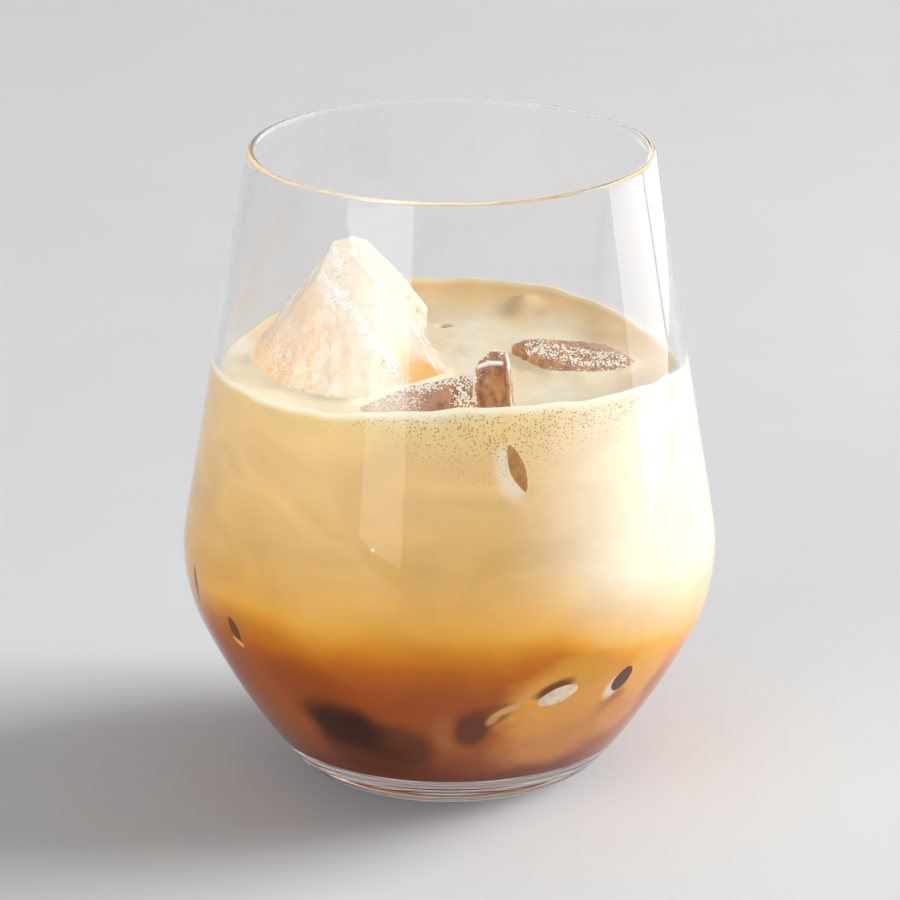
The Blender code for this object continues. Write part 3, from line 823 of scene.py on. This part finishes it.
# Where small bubbles crowd under the line: (angle from the front, spread, depth at which they thin out).
BUBBLE_CROWDS = (
    (math.radians(18), math.radians(16), 11 * MM),
    (math.radians(-4), math.radians(22), 9 * MM),
    (math.radians(46), math.radians(18), 6 * MM),
    (math.radians(-60), math.radians(40), 2 * MM),
)
under_line, on_top, bubble_crowd, climb_painted_shade, painted_shade_spots, painted_light_left = [], [], [], [], [], []
for corner in foam.data.vertices:
    x, y, radius = corner.co.x, corner.co.y, corner.co.xy.length
    is_top = corner.co.z > POOL_HEIGHT - 0.3 * MM
    share = max(0.0, (radius - foam_edge + CLIMB_WIDTH) / CLIMB_WIDTH)
    if not is_top and corner.co.z > STRETCH_START:
        stretch = (corner.co.z - STRETCH_START) / (FOAM_SIDE_TOP - STRETCH_START)
        height = STRETCH_START + stretch * (line_height(x, y) - EDGE_RING - STRETCH_START)
        grown = (upper_wall_radius(height, WALL - INTO_WALL) - SHARP) / radius
        corner.co = (x * grown, y * grown, height)
    if is_top:
        rise = foam_rise(x, y, share)
        if radius > 0:
            edge_radius = upper_wall_radius(POOL_HEIGHT + max(0.0, rise), WALL - INTO_WALL) - SHARP
            narrowed = radius + (edge_radius - foam_edge) * share**2
            corner.co.x *= narrowed / radius
            corner.co.y *= narrowed / radius
        corner.co.z += rise
    line = line_height(x, y)
    depth = line - corner.co.z
    at_wall = radius > foam_edge - 0.2 * MM
    # Painted shade on the back of the climb, fading toward the front and toward the pale edge.
    behind = min(1.0, max(0.0, 0.5 + (y + 0.5 * x) / BACK_FADE))
    pale_edge = max(0.0, share - PALE_EDGE_START) / (1 - PALE_EDGE_START)
    climb_painted_shade.append(behind * share**1.1 * (1 - pale_edge) if is_top and not at_wall else 0.0)
    painted_shade_spots.append(sum(bell(x, y, spot) for spot in PAINTED_SHADE_SPOTS) if is_top else 0.0)
    painted_light_left.append(bell(x, y, PAINTED_LIGHT_LEFT) if is_top and not at_wall else 0.0)
    under_line.append(depth if at_wall else 10 * MM)
    on_top.append(0.0 if not is_top or at_wall else 1.0)
    angle = math.atan2(x, -y)
    crowd = 0.0
    for centre, spread, fall in BUBBLE_CROWDS:
        crowd += math.exp(-(((angle - centre) / spread) ** 2)) * math.exp(-max(0.0, depth) / fall)
    bubble_crowd.append(min(1.0, 1.3 * crowd) if at_wall else 0.0)
for attribute_name, values in (
    ("under_line", under_line), ("on_top", on_top), ("bubble_crowd", bubble_crowd),
    ("climb_painted_shade", climb_painted_shade), ("painted_shade_spots", painted_shade_spots), ("painted_light_left", painted_light_left),
):
    attribute = foam.data.attributes.new(attribute_name, "FLOAT", "POINT")
    attribute.data.foreach_set("value", values)
foam.data.materials.append(milk_foam())
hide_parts("milk_foam")
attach(foam, "root")

# The sunk ice at the wall
# Corners of ice that float in the drink and touch the glass, so that a thin face of each shows through
# it: brown where coffee lies behind, pale where the light comes through. Two small ones are bubbles.
WALL_ICE_DEPTH = 0.22 * MM
WALL_BEND = 60 * MM
# (name, angle from the front in degrees, height in mm, half width, half height, roll in degrees, how far
# the ends narrow, colour of the face)
WALL_ICE = (
    ("leaf", 15.6, 66.5, 1.35, 4.9, -17, 0.6, "#BC8650"),
    ("oval", 25.8, 26.3, 3.7, 1.9, -22, 0.0, "#EED4B8"),
    ("spot", 43.8, 26.6, 1.9, 2.7, 14, 0.0, "#5E2C1A"),
    ("sliver_high", -71.0, 37.0, 0.9, 3.2, -12, 0.2, "#7A4A2C"),
    ("sliver_low", -54.0, 33.4, 1.2, 2.2, -28, 0.3, "#70401E"),
    ("sliver_foot", -53.6, 31.2, 1.5, 0.5, 22, 0.0, "#E0B27C"),
    ("bubble", -16.8, 53.0, 0.5, 0.5, 0, 0.0, "#F6DDB0"),
    ("glint", 21.5, 15.7, 1.4, 0.45, -4, 0.0, "#C8866A"),
)


def wall_point(degrees, height):
    """A point on the drink's side, and the outward normal there."""
    side = drink_side(8 * MM, 78 * MM)
    for (r0, z0), (r1, z1) in zip(side, side[1:]):
        if z0 <= height <= z1:
            break
    radius = r0 + (r1 - r0) * (height - z0) / (z1 - z0)
    turn = math.radians(degrees)
    out = Vector((math.sin(turn), -math.cos(turn), 0))
    place = out * radius + Vector((0, 0, height))
    normal = (out * (z1 - z0) - Vector((0, 0, r1 - r0))).normalized()
    return place, normal


def wet_ice_face(name, hex_colour):
    """A wet face of ice at the glass: smooth, coloured by the drink behind it and a little cloudy."""
    cloud_size = 1.6 * MM
    material, tree = new_material(name)
    place = add(tree, "TexCoord").outputs["Object"]
    cloud = add(tree, "TexNoise", {"Vector": place, "Scale": 1 / cloud_size, "Detail": 3.0})
    light = [min(1.0, value * 1.25) for value in linear(hex_colour)]
    dark = [value * 0.75 for value in linear(hex_colour)]
    share = add(tree, "MapRange", {"Value": cloud.outputs["Fac"], "From Min": 0.3, "From Max": 0.7})
    colour = add(tree, "Mix", {0: share.outputs[0], 6: (*dark[:3], 1), 7: (*light[:3], 1)},
                 data_type="RGBA")
    roughness = add(tree, "MapRange", {"Value": cloud.outputs["Fac"], "To Min": 0.2, "To Max": 0.4})
    shader = add(tree, "BsdfPrincipled", {
        "Base Color": colour.outputs[2], "Roughness": roughness.outputs[0], "IOR": 1.31,
        "Specular IOR Level": 0.1,
    })
    add(tree, "OutputMaterial", {"Surface": shader.outputs[0]})
    return material


def wall_ice_face(name, place, normal, half_sizes, roll, narrowing, finish):
    """A flat pebble of ice, its broad face curved along the wall."""
    mesh = bpy.data.meshes.new(name)
    shape = bmesh.new()
    bmesh.ops.create_icosphere(shape, subdivisions=5, radius=1.0)
    around = place.xy.length
    for corner in shape.verts:
        ragged = 1 + 0.12 * noise.noise(corner.co * 0.9 + place / MM)
        pointed = 1 - narrowing * abs(corner.co.z) ** 1.5
        flat = Vector((corner.co.x * pointed * half_sizes[0], 0, corner.co.z * half_sizes[1])) * ragged
        flat.rotate(Quaternion((0, 1, 0), math.radians(roll)))
        bend = flat.x**2 / (2 * around) + flat.z**2 / (2 * WALL_BEND)
        corner.co = Vector((flat.x, corner.co.y * WALL_ICE_DEPTH + bend, flat.z))
    shape.to_mesh(mesh)
    shape.free()
    mesh.shade_smooth()
    piece = bpy.data.objects.new(name, mesh)
    bpy.context.scene.collection.objects.link(piece)
    piece.location = place
    piece.rotation_mode = "QUATERNION"
    piece.rotation_quaternion = normal.to_track_quat("-Y", "Z")
    piece.data.materials.append(finish)
    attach(piece, "root")


for name, degrees, height, half_width, half_height, roll, narrowing, face in WALL_ICE:
    place, normal = wall_point(degrees, height * MM)
    wall_ice_face("wall_ice_" + name, place, normal, (half_width * MM, half_height * MM), roll, narrowing,
                  wet_ice_face("ice_face_" + name, face))

# The table and the studio
# A plain pale table that runs on as the background, and soft light from a large box at the right and a
# little behind and a weaker one at the front left. The narrow boxes show in the glass as its highlights.
TABLE_SIZE = 6.0
BOUNCE_CANCEL_FROM, BOUNCE_CANCEL_TO = 70 * MM, 175 * MM


def painted_board():
    """Matt painted board, nearly even, with the faint mottle of a rolled coat.

    Round the glass its colour is painted a touch cooler, to cancel the warm light that the drink throws on
    it.
    """
    mottle_size = 40 * MM
    material, tree = new_material("painted_board_matt")
    place = add(tree, "TexCoord").outputs["Object"]
    mottle = add(tree, "TexNoise", {"Vector": place, "Scale": 1 / mottle_size, "Detail": 3.0})
    colour = add(tree, "Mix", {0: mottle.outputs["Fac"], 6: linear("#DCDCDE"), 7: linear("#E1E1E2")},
                 data_type="RGBA")
    away = add(tree, "VectorMath", {0: place}, operation="LENGTH").outputs["Value"]
    bounce_cancel_share = add(tree, "MapRange", {
        "Value": away, "From Min": BOUNCE_CANCEL_FROM, "From Max": BOUNCE_CANCEL_TO, "To Min": 1.0, "To Max": 0.0,
    }, interpolation_type="SMOOTHSTEP")
    colour = add(tree, "Mix", {0: bounce_cancel_share.outputs[0], 6: colour.outputs[2], 7: linear("#DEE2E4")},
                 data_type="RGBA")
    shader = add(tree, "BsdfPrincipled", {"Base Color": colour.outputs[2], "Roughness": 0.75,
                                          "Specular IOR Level": 0.3})
    add(tree, "OutputMaterial", {"Surface": shader.outputs[0]})
    return material


bpy.ops.mesh.primitive_grid_add(x_subdivisions=4, y_subdivisions=4, size=TABLE_SIZE)
table = bpy.context.object
table.name = "table_top"
table.location.z = -0.1 * MM
table.data.materials.append(painted_board())

world = bpy.data.worlds.new("pale_room")
world.use_nodes = True
world.node_tree.nodes.clear()
direction = add(world.node_tree, "TexCoord").outputs["Generated"]
climb = add(world.node_tree, "SeparateXYZ", {0: direction}).outputs["Z"]
room_share = add(world.node_tree, "MapRange", {"Value": climb, "From Min": -0.1, "From Max": 0.9})
room_colour = add(world.node_tree, "Mix", {
    0: room_share.outputs[0], 6: (0.62, 0.62, 0.63, 1), 7: (0.13, 0.13, 0.13, 1),
}, data_type="RGBA")
room = add(world.node_tree, "Background", {"Color": room_colour.outputs[2], "Strength": 1.0})
add(world.node_tree, "OutputWorld", {"Surface": room.outputs[0]})
bpy.context.scene.world = world


def soft_box(name, azimuth, distance, low, high, width, brightness, seen_in_gloss=True, lights_things=True,
             seen_through_ice=True):
    """An upright rectangle of light that faces the glass, between a low and a high edge.

    It stands at an angle in degrees from the front towards the right, at a distance in metres.
    """
    height = high - low
    light = bpy.data.lights.new(name, "AREA")
    light.shape = "RECTANGLE"
    light.size = width
    light.size_y = height
    light.energy = brightness * math.pi * width * height
    box = bpy.data.objects.new(name, light)
    bpy.context.scene.collection.objects.link(box)
    turn = math.radians(azimuth)
    box.location = (distance * math.sin(turn), -distance * math.cos(turn), (low + high) / 2)
    aim = Vector((0, 0, box.location.z)) - box.location
    box.rotation_mode = "QUATERNION"
    box.rotation_quaternion = aim.to_track_quat("-Z", "Y")
    box.visible_camera = False
    box.visible_glossy = seen_in_gloss
    box.visible_transmission = seen_in_gloss and seen_through_ice
    box.visible_diffuse = lights_things
    return box


soft_box("key_window", 104, 2.2, 0.66, 2.27, 1.47, 12.6, seen_in_gloss=False)
soft_box("key_card", 110, 0.45, 0.0, 0.6, 0.27, 3.3, lights_things=False, seen_through_ice=False)
soft_box("key_card_side", 145, 0.45, 0.0, 0.6, 0.25, 2.3, lights_things=False, seen_through_ice=False)
soft_box("front_window", -29, 0.7, 0.035, 0.6, 0.228, 3.1, lights_things=False)
soft_box("front_window_left", -47.5, 0.7, 0.115, 0.6, 0.234, 3.1, lights_things=False)
soft_box("front_fill", -42, 1.6, 0.0, 1.1, 1.6, 2.6, seen_in_gloss=False)
CEILING_SIZE = 2.4
CEILING_HEIGHT = 1.2
ceiling = soft_box("ceiling", 0, 0.001, 0.0, CEILING_SIZE, CEILING_SIZE, 1.25, lights_things=False)
ceiling.location = (0, 0, CEILING_HEIGHT)
ceiling.rotation_quaternion = (1, 0, 0, 0)

# The camera
# It looks down on the glass as the photograph does, from 0.8 m in front, turned by a quarter of a degree.
LOOK_AT = Vector((0, 0, 56.25 * MM))
TILT = math.radians(0.24)
MOST_BOUNCES = 20
camera_data = bpy.data.cameras.new("camera")
camera_data.lens = 181.2
camera_data.sensor_width = 36
camera_data.clip_start = 0.01
camera = bpy.data.objects.new("camera", camera_data)
bpy.context.scene.collection.objects.link(camera)
camera.location = (0, -737.926 * MM, 308.396 * MM)
camera.rotation_mode = "QUATERNION"
camera.rotation_quaternion = (
    (LOOK_AT - camera.location).to_track_quat("-Z", "Y") @ Quaternion((0, 0, 1), TILT)
)
bpy.context.scene.camera = camera
bpy.context.scene.view_settings.view_transform = "Standard"
bpy.context.scene.cycles.use_denoising = True
bpy.context.scene.cycles.max_bounces = MOST_BOUNCES
bpy.context.scene.cycles.transmission_bounces = MOST_BOUNCES
bpy.context.scene.cycles.glossy_bounces = MOST_BOUNCES
